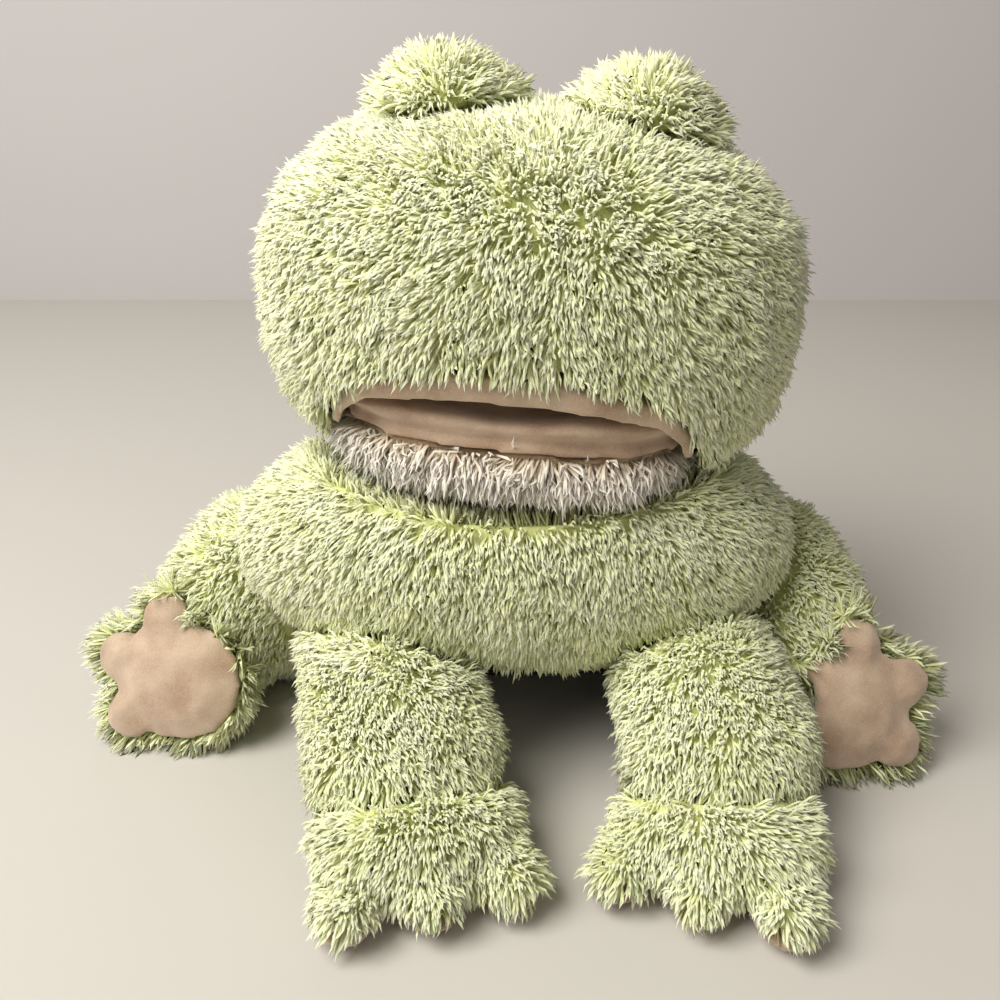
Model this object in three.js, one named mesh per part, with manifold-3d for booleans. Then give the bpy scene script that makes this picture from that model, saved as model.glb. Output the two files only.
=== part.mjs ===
// A sitting frog hand puppet of long-pile plush, with a hinged mouth over a hollow glove.
// Millimetres, +Z up. The toy looks along -Y and its own left side is +X.
import * as THREE from "three";
import { mergeVertices } from "three/addons/utils/BufferGeometryUtils.js";
import Module from "manifold-3d";

const wasm = await Module();
wasm.setup();

// Cloth thicknesses and clearances
const plushWall = 7;
const jawPlushWall = 5;
const velourWall = 3;
const liningWall = 1.4;
const hemHeight = 7;
const seamGap = 0.3;
const jointGap = 0.7;
const cuffGap = 1;
const floorSink = 1;

// Body: a round stuffed bib over a wide seat, open below for the hand
const bibHalfWidth = 108;
const bibRadius = 53;
const bibBack = 2;
const shoulderHeight = 88;
const seatHalfWidth = 100;
const seatHalfDepth = 73;
const seatHalfHeight = 60;
const seatFullness = 2.3;
const seatBack = 44;
const seatSink = 3;
const sideSeamBack = 24;
const handHoleFront = -42;
const handHoleFrontHeight = 46;
const handHoleBack = 70;
const chinDishRadius = 148;
const chinDishFloor = 97;

// Neck: a ball-shaped collar that the head sits on
const neckBack = 30;
const neckHeight = 104;
const collarRadius = 56;
const collarWall = 5;
const collarFoot = -2;
const collarTop = 27;

// Head, mouth and jaw
const headRoll = 4.5;
const headYaw = -5;
const headHalfWidth = 96;
const headHalfDepth = 72;
const headHalfHeight = 64;
const headBack = 22;
const headHeight = 180;
const headFullness = 2.7;
const jawHalfWidth = 62;
const jawHalfDepth = 52;
const jawHalfHeight = 16;
const jawBack = 14;
const jawHeight = 137;
const jawFullness = 3;
const lipSeamLift = 2;
const mouthGap = 8;
const mouthFront = -80;
const mouthRear = 100;
const upperLipHeight = 10;
const mouthHingeBack = 58;
const jawArmEnd = 50;
const mouthOpenAngles = [0, 17, 35];
const napeFront = 50;
const napeFrontHeight = 122;
const napeBack = 94;
const napeBackHeight = 145;
const napeGap = 1.5;

// Hand space: a passage through the neck, a pocket for the fingers and one for the thumb
const passageHalfWidth = 43;
const passageHalfDepth = 27;
const passageBack = 36;
const fingerPocketHalfWidth = 45;
const fingerPocketFront = -30;
const fingerPocketHalfHeight = 15;
const fingerPocketLift = 35;
const thumbPocketHalfWidth = 19;
const thumbPocketFront = -27;
const thumbPocketHalfHeight = 8;

// Eye bumps and eyes
const bumpRadius = 28;
const bumpSpread = 34;
const bumpHeight = 234;
const eyeRadius = 5.5;
const eyeDomeHeight = 4.5;
const eyeStemRadius = 1.8;
const eyeStemLength = 8;
const washerRadius = 4.5;
const washerThickness = 1.6;
const washerSetback = 1;
const eyeOutward = 0.76;
const eyeForward = 0.38;
const eyeUpward = 0.53;
const eyeSink = 4;
const eyeDomeLeans = [30, 60];

// Arms and hands
const armRootDrop = 32;
const armRootAhead = 12;
const armRootHalfWidth = 30;
const armRootHalfDepth = 24;
const elbowHalfWidth = 33;
const elbowHalfDepth = 25;
const elbowLift = 3;
const wristBack = -68;
const wristHeight = 31;
const wristHalfWidth = 36;
const wristHalfDepth = 20;
const armSwingAngles = [0, 15, 30];
const wristLiftAngles = [0, 10, 20];
const palmHalfWidth = 37;
const palmHalfDepth = 27;
const palmHalfHeight = 19;
const palmFullness = 2.4;
const palmAhead = 17;
const fingerRadius = 12;
const fingerRootAhead = 4;
const fingerLength = 22;
const fingerSpread = 20;
const fingerSplay = 20;
const handSeamHeight = 7;

// Legs and feet
const hipBack = 48;
const hipHalfWidth = 34;
const hipHalfHeight = 42;
const kneeHalfWidth = 36;
const kneeHalfHeight = 46;
const kneeBulge = 8;
const ankleHalfWidth = 24;
const ankleHalfHeight = 29;
const legSwingAngles = [-6, 7, 20];
const ankleAngles = [-12, 0, 12];
const footAhead = 20;
const footHeight = 20;
const footTilt = 22;
const footHalfWidth = 31;
const footHalfThickness = 15;
const footHalfHeight = 29;
const footFullness = 2.2;
const toeHalfWidth = 15;
const toeHalfThickness = 13;
const toeReach = 27;
const soleSeamAhead = 3;
const soleRim = 4;
const soleForward = 8;
const toeAngles = [78, 18, -38];

// How the two sides lie in the photographed pose
const leftShoulderX = 62;
const leftWristX = 75;
const leftHipX = 80;
const leftAnkleX = 125;
const leftAnkleBack = -9;
const rightShoulderX = -56;
const rightWristX = -39;
const rightHipX = -79;
const rightAnkleX = -133;
const rightAnkleBack = 10;
const sides = [
  {
    name: "left",
    sign: 1,
    shoulderX: leftShoulderX,
    wristX: leftWristX,
    handYaw: -20,
    hipX: leftHipX,
    ankleX: leftAnkleX,
    ankleBack: leftAnkleBack,
    footYaw: 8,
  },
  {
    name: "right",
    sign: -1,
    shoulderX: rightShoulderX,
    wristX: rightWristX,
    handYaw: 14,
    hipX: rightHipX,
    ankleX: rightAnkleX,
    ankleBack: rightAnkleBack,
    footYaw: -8,
  },
];

const materials = {
  greenPlush: { color: 0xbcbf85, roughness: 0.95 },
  creamPlush: { color: 0xd8cdb6, roughness: 0.95 },
  velour: { color: 0xb9956f, roughness: 0.9 },
  lining: { color: 0x14120f, roughness: 0.95 },
  stuffing: { color: 0xf2f0ea, roughness: 1 },
  eyePlastic: { color: 0x0a0a0a, roughness: 0.2 },
  washerPlastic: { color: 0xe6e6e2, roughness: 0.6 },
};

// Solids, forms and cuts

const axisX = new THREE.Vector3(1, 0, 0);
const axisY = new THREE.Vector3(0, 1, 0);
const axisZ = new THREE.Vector3(0, 0, 1);
const liftAxis = axisX.clone().negate();
const unmoved = new THREE.Matrix4();
const beyondAll = 1000;
const innerDetail = 0.5;

function at(x, y, z) {
  return new THREE.Vector3(x, y, z);
}

function solidOf(geometry) {
  geometry.deleteAttribute("normal");
  geometry.deleteAttribute("uv");
  const merged = mergeVertices(geometry, 1e-4);
  const corners = merged.index.array;
  const triVerts = [];
  for (let i = 0; i < corners.length; i += 3) {
    const [a, b, c] = corners.slice(i, i + 3);
    if (a !== b && b !== c && c !== a) triVerts.push(a, b, c);
  }
  const vertProperties = merged.attributes.position.array;
  const mesh = new wasm.Mesh({ numProp: 3, vertProperties, triVerts: Uint32Array.from(triVerts) });
  return new wasm.Manifold(mesh);
}

// A form is a list of shapes, and a shape gives its geometry for any growth of its surface
function form(shapes, grow = 0, place = unmoved) {
  const solids = shapes.map((shape) => solidOf(shape(grow).applyMatrix4(place)));
  return solids.reduce((all, next) => all.add(next));
}

// A cut can leave a loose crumb beside the piece, so the largest body is kept
function largest(solid) {
  return solid.decompose().reduce((best, next) => (next.volume() > best.volume() ? next : best));
}

function turnAbout(point, axis, degrees) {
  const turn = new THREE.Matrix4().makeRotationAxis(axis, THREE.MathUtils.degToRad(degrees));
  const there = new THREE.Matrix4().makeTranslation(point);
  const back = new THREE.Matrix4().makeTranslation(point.clone().negate());
  return there.multiply(turn).multiply(back);
}

// Everything on the far side of a plane
function beyond(point, normal, place = unmoved) {
  const block = new THREE.BoxGeometry(beyondAll, beyondAll, beyondAll).translate(0, 0, beyondAll / 2);
  block.applyQuaternion(new THREE.Quaternion().setFromUnitVectors(axisZ, normal.clone().normalize()));
  return solidOf(block.translate(point.x, point.y, point.z).applyMatrix4(place));
}

// Surfaces that have shrunk lie inside a cover, so they take fewer facets
function facets(count, grow) {
  return grow < 0 ? Math.max(4, Math.round(count * innerDetail)) : count;
}

// A swollen form: an ellipsoid, squarer where its fullness is over 2
function swell({ centre, radii, fullness = 2, pole = "z", around = 20, along = 10 }) {
  return (grow) => {
    const geometry = new THREE.SphereGeometry(1, facets(around, grow), facets(along, grow));
    if (pole === "x") geometry.rotateZ(Math.PI / 2);
    if (pole === "z") geometry.rotateX(Math.PI / 2);
    const places = geometry.attributes.position;
    const size = new THREE.Vector3(...radii).addScalar(grow);
    for (let i = 0; i < places.count; i++) {
      const point = new THREE.Vector3().fromBufferAttribute(places, i);
      const spread = point.toArray().reduce((sum, v) => sum + Math.abs(v) ** fullness, 0);
      point.multiplyScalar(spread ** (-1 / fullness)).multiply(size).add(centre);
      places.setXYZ(i, point.x, point.y, point.z);
    }
    return geometry;
  };
}

// A stuffed limb: oval sections along a curve through the points, with round ends
function limb({ points, widths, depths, across, around = 12, along = 4, capRings = 2 }) {
  const curve = new THREE.CatmullRomCurve3(points);
  const sizeAt = (sizes, t) => {
    const step = t * (sizes.length - 1);
    const i = Math.min(Math.floor(step), sizes.length - 2);
    return THREE.MathUtils.lerp(sizes[i], sizes[i + 1], step - i);
  };
  const stations = [];
  for (let i = capRings; i > 0; i--) stations.push({ t: 0, lean: (-i / capRings) * (Math.PI / 2) });
  for (let i = 0; i <= along; i++) stations.push({ t: i / along, lean: 0 });
  for (let i = 1; i <= capRings; i++) stations.push({ t: 1, lean: (i / capRings) * (Math.PI / 2) });
  return (grow) => {
    const sidesNow = facets(around, grow);
    const positions = [];
    for (const { t, lean } of stations) {
      const tangent = curve.getTangent(t);
      const side = across.clone().addScaledVector(tangent, -across.dot(tangent)).normalize();
      const up = tangent.clone().cross(side);
      const width = sizeAt(widths, t) + grow;
      const depth = sizeAt(depths, t) + grow;
      const centre = curve.getPoint(t).addScaledVector(tangent, Math.sin(lean) * depth);
      for (let k = 0; k < sidesNow; k++) {
        const turn = (k / sidesNow) * 2 * Math.PI;
        const rim = centre.clone().addScaledVector(side, Math.cos(turn) * width * Math.cos(lean));
        rim.addScaledVector(up, Math.sin(turn) * depth * Math.cos(lean));
        positions.push(rim.x, rim.y, rim.z);
      }
    }
    const faces = [];
    for (let ring = 0; ring + 1 < stations.length; ring++) {
      for (let k = 0; k < sidesNow; k++) {
        const a = ring * sidesNow + k;
        const b = ring * sidesNow + ((k + 1) % sidesNow);
        faces.push(a, b, b + sidesNow, a, b + sidesNow, a + sidesNow);
      }
    }
    const geometry = new THREE.BufferGeometry();
    geometry.setAttribute("position", new THREE.Float32BufferAttribute(positions, 3));
    geometry.setIndex(faces);
    return geometry;
  };
}

// An upright oval tube
function tube({ centre, halfWidth, halfDepth, bottom, top, around = 18 }) {
  return (grow) => {
    const geometry = new THREE.CylinderGeometry(1, 1, top - bottom, around).rotateX(Math.PI / 2);
    geometry.scale(halfWidth + grow, halfDepth + grow, 1);
    return geometry.translate(centre.x, centre.y, (top + bottom) / 2);
  };
}

// A turned piece along a direction, from a profile of radius and height points
function turned({ origin, direction, profile, around = 10 }) {
  return (grow) => {
    const points = profile(grow).map(([radius, height]) => new THREE.Vector2(radius, height));
    const geometry = new THREE.LatheGeometry(points, around);
    geometry.applyQuaternion(new THREE.Quaternion().setFromUnitVectors(axisY, direction));
    return geometry.translate(origin.x, origin.y, origin.z);
  };
}

// Scene graph: one group for each moving body, with its origin on its joint

const toy = new THREE.Group();

function bodyGroup(parent, pivot, turn = new THREE.Euler()) {
  const group = new THREE.Group();
  parent.add(group);
  parent.updateWorldMatrix(true, false);
  group.position.copy(parent.worldToLocal(pivot.clone()));
  group.rotation.copy(turn);
  group.updateWorldMatrix(true, false);
  return group;
}

function attach(group, name, solid, materialName) {
  const { vertProperties, triVerts } = solid.getMesh();
  const geometry = new THREE.BufferGeometry();
  geometry.setAttribute("position", new THREE.BufferAttribute(vertProperties, 3));
  geometry.setIndex(new THREE.BufferAttribute(triVerts, 1));
  geometry.applyMatrix4(group.matrixWorld.clone().invert());
  geometry.computeVertexNormals();
  const piece = new THREE.Mesh(geometry, new THREE.MeshStandardMaterial(materials[materialName]));
  piece.name = name;
  group.add(piece);
}

// Body

const neckPivot = at(0, neckBack, neckHeight);
const posed = turnAbout(neckPivot, axisZ, headYaw).multiply(turnAbout(neckPivot, axisY, headRoll));
const jawTop = jawHeight + jawHalfHeight;
const floor = beyond(at(0, 0, 0), axisZ.clone().negate());
const bib = swell({
  centre: at(0, bibBack, shoulderHeight),
  radii: [bibHalfWidth, bibRadius, bibRadius],
  pole: "x",
  around: 26,
});
const seat = swell({
  centre: at(0, seatBack, seatHalfHeight - seatSink),
  radii: [seatHalfWidth, seatHalfDepth, seatHalfHeight],
  fullness: seatFullness,
  around: 24,
});
const collarBall = swell({ centre: neckPivot, radii: [collarRadius, collarRadius, collarRadius], around: 28 });
// The chest is dished around the neck, so that the chin turns over it freely
const chinDish = swell({
  centre: at(0, neckBack, chinDishFloor + chinDishRadius),
  radii: [chinDishRadius, chinDishRadius, chinDishRadius],
  around: 24,
  along: 14,
});
const handHoleNormal = at(0, -handHoleFrontHeight, handHoleFront - handHoleBack).normalize();
const handHolePoint = at(0, handHoleBack, 0);

function handHole(above, place = unmoved) {
  return beyond(handHolePoint.clone().addScaledVector(handHoleNormal, -above), handHoleNormal, place);
}

// The body as one block, for the limbs that it cuts
function bodyBlock(shapes, grow, place) {
  return form(shapes, grow, place).subtract(handHole(-grow, place));
}

// The space for the hand inside the body, as the lining's outer surface
function gloveSpace(grow) {
  const neckSpace = form([collarBall], grow - collarWall - seamGap);
  const underDish = form([chinDish], plushWall + seamGap - grow);
  return form([seat], grow - plushWall - seamGap).subtract(underDish).add(neckSpace);
}

function buildBody() {
  // The plush follows the dish under the chin, so the stuffing is cut further back there by the wall
  const collarRoom = form([collarBall], jointGap);
  const trimmed = (solid, wall) => solid.subtract(floor).subtract(form([chinDish], wall)).subtract(collarRoom);
  const inside = form([bib, seat], -plushWall).subtract(form([chinDish], plushWall));
  const plush = trimmed(form([bib, seat]), 0).subtract(inside);
  const panels = plush.subtract(handHole(hemHeight + seamGap));
  const hem = plush.subtract(handHole(0)).intersect(handHole(hemHeight));
  const seam = at(0, sideSeamBack, 0);
  attach(toy, "body_front", largest(panels.subtract(beyond(seam, axisY))), "greenPlush");
  seam.y += seamGap;
  attach(toy, "body_back", largest(panels.subtract(beyond(seam, axisY.clone().negate()))), "greenPlush");
  attach(toy, "hand_hole_hem", largest(hem), "lining");
  const stuffed = trimmed(form([bib, seat], -plushWall - seamGap), plushWall + seamGap);
  const padding = stuffed.subtract(gloveSpace(seamGap)).subtract(handHole(hemHeight + seamGap));
  attach(toy, "bib_stuffing", largest(padding), "stuffing");
  const collarFloor = beyond(at(0, 0, neckHeight + collarFoot - seamGap), axisZ);
  const lining = gloveSpace(0).subtract(gloveSpace(-liningWall)).subtract(collarFloor);
  attach(toy, "sleeve_lining", largest(lining.subtract(floor).subtract(handHole(0))), "lining");
}

// Neck, jaw and head

const neckGroup = bodyGroup(toy, neckPivot, new THREE.Euler(0, 0, THREE.MathUtils.degToRad(headYaw)));
const jawGroup = bodyGroup(neckGroup, neckPivot, new THREE.Euler(0, THREE.MathUtils.degToRad(headRoll), 0));
const mouthHinge = at(0, mouthHingeBack, jawTop);
const headGroup = bodyGroup(jawGroup, mouthHinge.clone().applyMatrix4(posed));

const jaw = swell({
  centre: at(0, jawBack, jawHeight),
  radii: [jawHalfWidth, jawHalfDepth, jawHalfHeight],
  fullness: jawFullness,
});
// The mouth reaches out past the face, so that it opens as a slot with an even upper lip
const mouthCentre = at(0, (mouthFront + mouthRear) / 2, jawHeight);
const mouthRadii = at(jawHalfWidth + jointGap, (mouthRear - mouthFront) / 2, jawHalfHeight + mouthGap);
const lipRadii = mouthRadii.clone().add(at(velourWall, velourWall, upperLipHeight));
const mouth = swell({ centre: mouthCentre, radii: mouthRadii.toArray(), fullness: jawFullness });
const upperLip = swell({ centre: mouthCentre, radii: lipRadii.toArray(), fullness: jawFullness });
const passageOval = { halfWidth: passageHalfWidth, halfDepth: passageHalfDepth, centre: at(0, passageBack, 0) };
const fingerHeight = jawTop + fingerPocketLift;
const neckPassage = tube({ ...passageOval, bottom: neckHeight, top: fingerHeight });
const pocketMouth = tube({ ...passageOval, bottom: jawTop + mouthGap + seamGap, top: fingerHeight });
const passageEnd = passageBack + passageHalfDepth;
const fingerPocket = swell({
  centre: at(0, (passageEnd + fingerPocketFront) / 2, fingerHeight),
  radii: [fingerPocketHalfWidth, (passageEnd - fingerPocketFront) / 2, fingerPocketHalfHeight],
  fullness: jawFullness,
  around: 16,
  along: 6,
});
const thumbPocket = swell({
  centre: at(0, passageBack - passageHalfDepth, jawHeight),
  radii: [thumbPocketHalfWidth, passageBack - passageHalfDepth - thumbPocketFront, thumbPocketHalfHeight],
  fullness: jawFullness,
  around: 12,
  along: 6,
});
const head = swell({
  centre: at(0, headBack, headHeight),
  radii: [headHalfWidth, headHalfDepth, headHalfHeight],
  fullness: headFullness,
  around: 24,
  along: 12,
});

function buildNeck() {
  const band = form([collarBall]).subtract(form([collarBall], -collarWall));
  const below = beyond(at(0, 0, neckHeight + collarFoot), axisZ.clone().negate());
  const above = beyond(at(0, 0, neckHeight + collarTop), axisZ);
  attach(neckGroup, "neck_collar", band.subtract(below).subtract(above), "greenPlush");
}

function buildJaw() {
  const space = form([collarBall], jointGap).add(form([neckPassage], 0, posed));
  const open = space.add(beyond(at(0, jawArmEnd, 0), axisY, posed));
  const seam = jawHeight + lipSeamLift;
  const overSeam = beyond(at(0, 0, seam), axisZ, posed);
  const underSeam = beyond(at(0, 0, seam + seamGap), axisZ.clone().negate(), posed);
  const skin = (wall) => form([jaw], 0, posed).subtract(form([jaw], -wall, posed)).subtract(open);
  attach(jawGroup, "jaw_cover", largest(skin(jawPlushWall).subtract(overSeam)), "creamPlush");
  attach(jawGroup, "lower_palate", largest(skin(velourWall).subtract(underSeam)), "velour");
  const padding = form([jaw], -jawPlushWall - seamGap, posed).subtract(form([thumbPocket], seamGap, posed));
  attach(jawGroup, "jaw_stuffing", largest(padding.subtract(open)), "stuffing");
  const pocket = form([thumbPocket], 0, posed).subtract(form([thumbPocket], -liningWall, posed));
  attach(jawGroup, "thumb_pocket", largest(pocket.subtract(open)), "lining");
}

function buildHead() {
  const mouthSpace = form([upperLip], seamGap, posed);
  const fingers = form([fingerPocket, pocketMouth], 0, posed);
  const fingerRoom = form([fingerPocket, neckPassage], seamGap, posed);
  // The nape slants up and is scooped out, so that it swings past the collar when the mouth opens
  const napeNormal = at(0, napeBackHeight - napeFrontHeight, napeFront - napeBack);
  const nape = beyond(at(0, napeFront, napeFrontHeight), napeNormal, posed);
  const hinge = mouthHinge.clone().applyMatrix4(posed);
  const lift = liftAxis.clone().transformDirection(posed);
  const collarAt = (angle) => form([collarBall], napeGap, turnAbout(hinge, lift, -angle));
  const collarSweep = mouthOpenAngles.map(collarAt);
  const spaces = [mouthSpace, fingerRoom, nape, ...collarSweep];
  const open = (solid) => spaces.reduce((rest, space) => rest.subtract(space), solid);
  const skin = form([head], 0, posed).subtract(form([head], -plushWall, posed));
  attach(headGroup, "head_cover", largest(open(skin)), "greenPlush");
  attach(headGroup, "head_stuffing", largest(open(form([head], -plushWall - seamGap, posed))), "stuffing");
  const pocket = fingers.subtract(form([fingerPocket, neckPassage], -liningWall, posed));
  attach(headGroup, "finger_pocket", largest(pocket), "lining");
  const roof = form([upperLip], 0, posed).subtract(form([mouth], 0, posed));
  const behind = beyond(at(0, passageBack - passageHalfDepth - seamGap, 0), axisY, posed);
  const belowLip = beyond(at(0, 0, jawHeight + lipSeamLift), axisZ.clone().negate(), posed);
  const palate = roof.intersect(form([head], 0, posed)).subtract(behind).subtract(belowLip);
  attach(headGroup, "upper_palate", largest(palate), "velour");
}

function buildEye({ name, sign }) {
  const bumpCentre = at(sign * bumpSpread, headBack, bumpHeight);
  const bump = swell({
    centre: bumpCentre,
    radii: [bumpRadius, bumpRadius, bumpRadius],
    around: 14,
    along: 8,
  });
  // The eye sits on the backing of the cloth, so it is sunk into the pile
  const direction = at(sign * eyeOutward, -eyeForward, eyeUpward).normalize();
  const origin = bumpCentre.clone().addScaledVector(direction, bumpRadius - eyeSink);
  const stem = (grow) => [
    [0, -eyeStemLength - grow],
    [eyeStemRadius + grow, -eyeStemLength - grow],
    [eyeStemRadius + grow, -grow],
    [eyeRadius + grow, -grow],
  ];
  const domeAt = (degrees, grow) => {
    const lean = THREE.MathUtils.degToRad(degrees);
    return [(eyeRadius + grow) * Math.cos(lean), (eyeDomeHeight + grow) * Math.sin(lean)];
  };
  const dome = (grow) => [...eyeDomeLeans.map((lean) => domeAt(lean, grow)), [0, eyeDomeHeight + grow]];
  const straight = (grow) => [[eyeRadius + grow, eyeDomeHeight + grow], [0, eyeDomeHeight + grow]];
  const eye = turned({ origin, direction, profile: (grow) => [...stem(grow), ...dome(grow)] });
  const eyeSeat = turned({ origin, direction, profile: (grow) => [...stem(grow), ...straight(grow)] });
  const washerFace = eyeSink - plushWall - washerSetback;
  const washer = turned({
    origin,
    direction,
    profile: (grow) => [
      [0, washerFace - washerThickness - grow],
      [washerRadius + grow, washerFace - washerThickness - grow],
      [washerRadius + grow, washerFace + grow],
      [0, washerFace + grow],
    ],
  });
  const onHead = (solid) => largest(solid.subtract(form([head], seamGap, posed)));
  const eyeHole = form([eyeSeat], seamGap, posed);
  const eyeRoom = eyeHole.add(form([washer], seamGap, posed));
  const shell = form([bump], 0, posed).subtract(form([bump], -plushWall, posed));
  attach(headGroup, `eye_bump_${name}`, onHead(shell.subtract(eyeRoom)), "greenPlush");
  const filling = form([bump], -plushWall - seamGap, posed);
  attach(headGroup, `eye_bump_stuffing_${name}`, onHead(filling.subtract(eyeRoom)), "stuffing");
  attach(headGroup, `eye_${name}`, form([eye], 0, posed), "eyePlastic");
  attach(headGroup, `eye_washer_${name}`, form([washer], 0, posed).subtract(eyeHole), "washerPlastic");
}

// Arms and hands

function armShape({ shoulderX, wristX }) {
  const root = at(shoulderX, bibBack - armRootAhead, shoulderHeight - armRootDrop);
  const wrist = at(wristX, wristBack, wristHeight);
  const elbow = root.clone().add(wrist).divideScalar(2);
  elbow.z += elbowLift;
  return limb({
    points: [root, elbow, wrist],
    widths: [armRootHalfWidth, elbowHalfWidth, wristHalfWidth],
    depths: [armRootHalfDepth, elbowHalfDepth, wristHalfDepth],
    across: axisX,
  });
}

function buildArm(side) {
  const pivot = at(side.shoulderX, bibBack, shoulderHeight);
  const group = bodyGroup(toy, pivot);
  const arm = armShape(side);
  // The bib is round about the shoulder line, so one cut by it holds at every swing
  const clear = (solid) =>
    armSwingAngles.reduce(
      (rest, angle) => rest.subtract(bodyBlock([seat], jointGap, turnAbout(pivot, liftAxis, -angle))),
      solid.subtract(form([bib], jointGap)),
    );
  const skin = form([arm]).subtract(form([arm], -plushWall));
  attach(group, `arm_${side.name}`, largest(clear(skin)), "greenPlush");
  const filling = clear(form([arm], -plushWall - seamGap));
  attach(group, `arm_stuffing_${side.name}`, largest(filling), "stuffing");
  buildHand(side, group, arm);
}

function handShapes() {
  const palm = swell({
    centre: at(0, -palmAhead, palmHalfHeight - floorSink - wristHeight),
    radii: [palmHalfWidth, palmHalfDepth, palmHalfHeight],
    fullness: palmFullness,
    around: 14,
    along: 6,
  });
  const fingers = [-1, 0, 1].map((place) => {
    const splay = THREE.MathUtils.degToRad(place * fingerSplay);
    const root = at(place * fingerSpread, -palmAhead - fingerRootAhead, fingerRadius - floorSink - wristHeight);
    const reach = at(Math.sin(splay), -Math.cos(splay), 0).multiplyScalar(fingerLength);
    const sizes = [fingerRadius, fingerRadius];
    const points = [root, root.clone().add(reach)];
    return limb({ points, widths: sizes, depths: sizes, across: axisX, around: 7, along: 1 });
  });
  return { palm, fingers };
}

function buildHand({ name, wristX, handYaw }, armGroup, arm) {
  const wrist = at(wristX, wristBack, wristHeight);
  const group = bodyGroup(armGroup, wrist, new THREE.Euler(0, 0, THREE.MathUtils.degToRad(handYaw)));
  const place = group.matrixWorld;
  const lift = liftAxis.clone().transformDirection(place);
  const clear = (solid) =>
    wristLiftAngles.reduce(
      (rest, angle) => rest.subtract(form([arm], cuffGap, turnAbout(wrist, lift, -angle))),
      solid.subtract(floor),
    );
  const { palm, fingers } = handShapes();
  const whole = form([palm, ...fingers], 0, place);
  const overSeam = beyond(at(0, 0, handSeamHeight), axisZ);
  const underSeam = beyond(at(0, 0, handSeamHeight + seamGap), axisZ.clone().negate());
  const back = whole.subtract(form([palm], -plushWall, place)).subtract(underSeam);
  attach(group, `hand_${name}`, largest(clear(back)), "greenPlush");
  const pad = whole.subtract(form([palm], -velourWall, place)).subtract(overSeam);
  attach(group, `palm_${name}`, largest(clear(pad)), "velour");
  const filling = form([palm], -plushWall - seamGap, place);
  attach(group, `hand_stuffing_${name}`, largest(clear(filling)), "stuffing");
}

// Legs and feet

function legShape({ sign, hipX, ankleX, ankleBack }) {
  const hip = at(hipX, hipBack, hipHalfHeight - floorSink);
  const ankle = at(ankleX, ankleBack, ankleHalfHeight - floorSink);
  const along = ankle.clone().sub(hip);
  const across = at(along.y, -along.x, 0).normalize();
  const knee = hip.clone().add(ankle).divideScalar(2).addScaledVector(across, -sign * kneeBulge);
  knee.z = kneeHalfHeight - floorSink;
  return limb({
    points: [hip, knee, ankle],
    widths: [hipHalfWidth, kneeHalfWidth, ankleHalfWidth],
    depths: [hipHalfHeight, kneeHalfHeight, ankleHalfHeight],
    across,
  });
}

function buildLeg(side) {
  const hip = at(side.hipX, hipBack, hipHalfHeight);
  const swing = axisZ.clone().multiplyScalar(side.sign);
  const group = bodyGroup(toy, hip);
  const leg = legShape(side);
  const arm = armShape(side);
  const clear = (solid) =>
    legSwingAngles.reduce(
      (rest, angle) => rest.subtract(bodyBlock([bib, seat], jointGap, turnAbout(hip, swing, -angle))),
      solid.subtract(floor).subtract(form([arm], jointGap, turnAbout(hip, swing, -legSwingAngles[0]))),
    );
  const skin = form([leg]).subtract(form([leg], -plushWall));
  attach(group, `leg_${side.name}`, largest(clear(skin)), "greenPlush");
  const filling = form([leg], -plushWall - seamGap);
  attach(group, `leg_stuffing_${side.name}`, largest(clear(filling)), "stuffing");
  buildFoot(side, group, leg, arm, hip, swing);
}

// The foot's core and toes, or its outline narrowed by a rim
function footShapes({ sign }, rim = 0) {
  const centre = at(0, -footAhead, 0);
  const core = swell({
    centre,
    radii: [footHalfWidth - rim, footHalfThickness, footHalfHeight - rim],
    fullness: footFullness,
    pole: "y",
    around: 14,
    along: 6,
  });
  const toes = toeAngles.map((degrees) => {
    const angle = THREE.MathUtils.degToRad(degrees);
    const outward = at(sign * Math.cos(angle), 0, Math.sin(angle));
    return limb({
      points: [centre, centre.clone().addScaledVector(outward, toeReach)],
      widths: [toeHalfWidth - rim, toeHalfWidth - rim],
      depths: [toeHalfThickness - rim, toeHalfThickness - rim],
      across: at(-outward.z, 0, outward.x),
      around: 7,
      along: 1,
    });
  });
  return { core, toes };
}

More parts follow.
